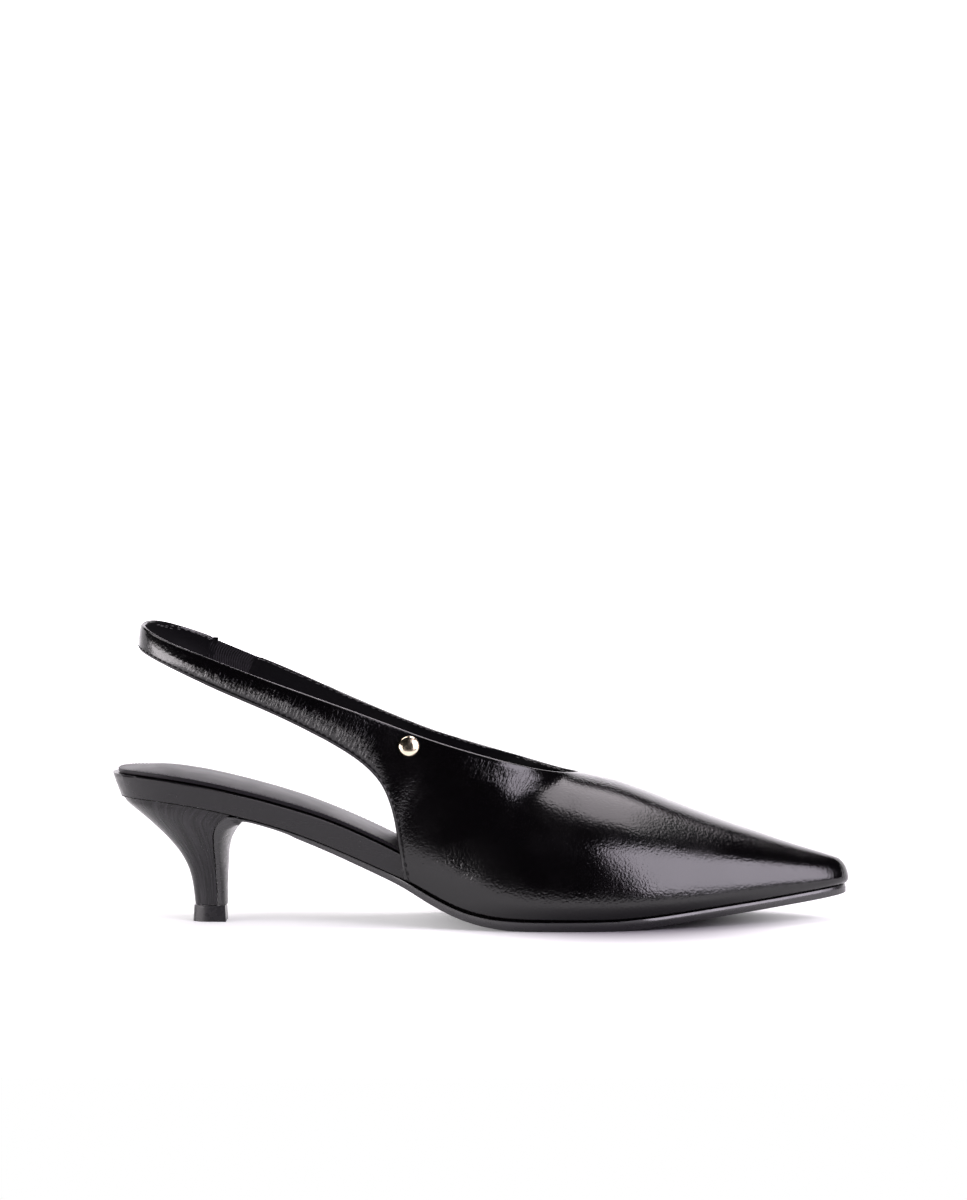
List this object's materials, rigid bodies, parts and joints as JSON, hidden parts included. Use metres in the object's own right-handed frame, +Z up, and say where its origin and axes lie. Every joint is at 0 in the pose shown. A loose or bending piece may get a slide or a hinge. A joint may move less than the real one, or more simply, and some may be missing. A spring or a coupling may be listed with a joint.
{
  "type": "slingback pump",
  "caption": "Right slingback pump with a pointed toe, V-cut throat, hollow upper, elastic let into the strap and a low flared heel.",
  "frame": {"origin": "on the floor, under the middle of the shoe's length and width", "axes": "+X from heel to toe, +Y towards the inner side of the foot, +Z up"},
  "size_m": [0.2584, 0.079, 0.1053],
  "materials": {
    "upper": "polished black",
    "elastic_gore": "ribbed black elastic",
    "outsole": "smooth black sole resin",
    "insole_board": "polished black wrap",
    "sock": "smooth black lining",
    "heel": "black leather cover",
    "top_lift": "black moulded tip",
    "stud": "polished pale gold"
  },
  "bodies": {
    "root": {"upper": "upper", "elastic_gore": "elastic_gore", "outsole": "outsole", "insole_board": "insole_board", "sock": "sock", "heel": "heel", "top_lift": "top_lift", "stud": "stud"}
  },
  "joints": []
}
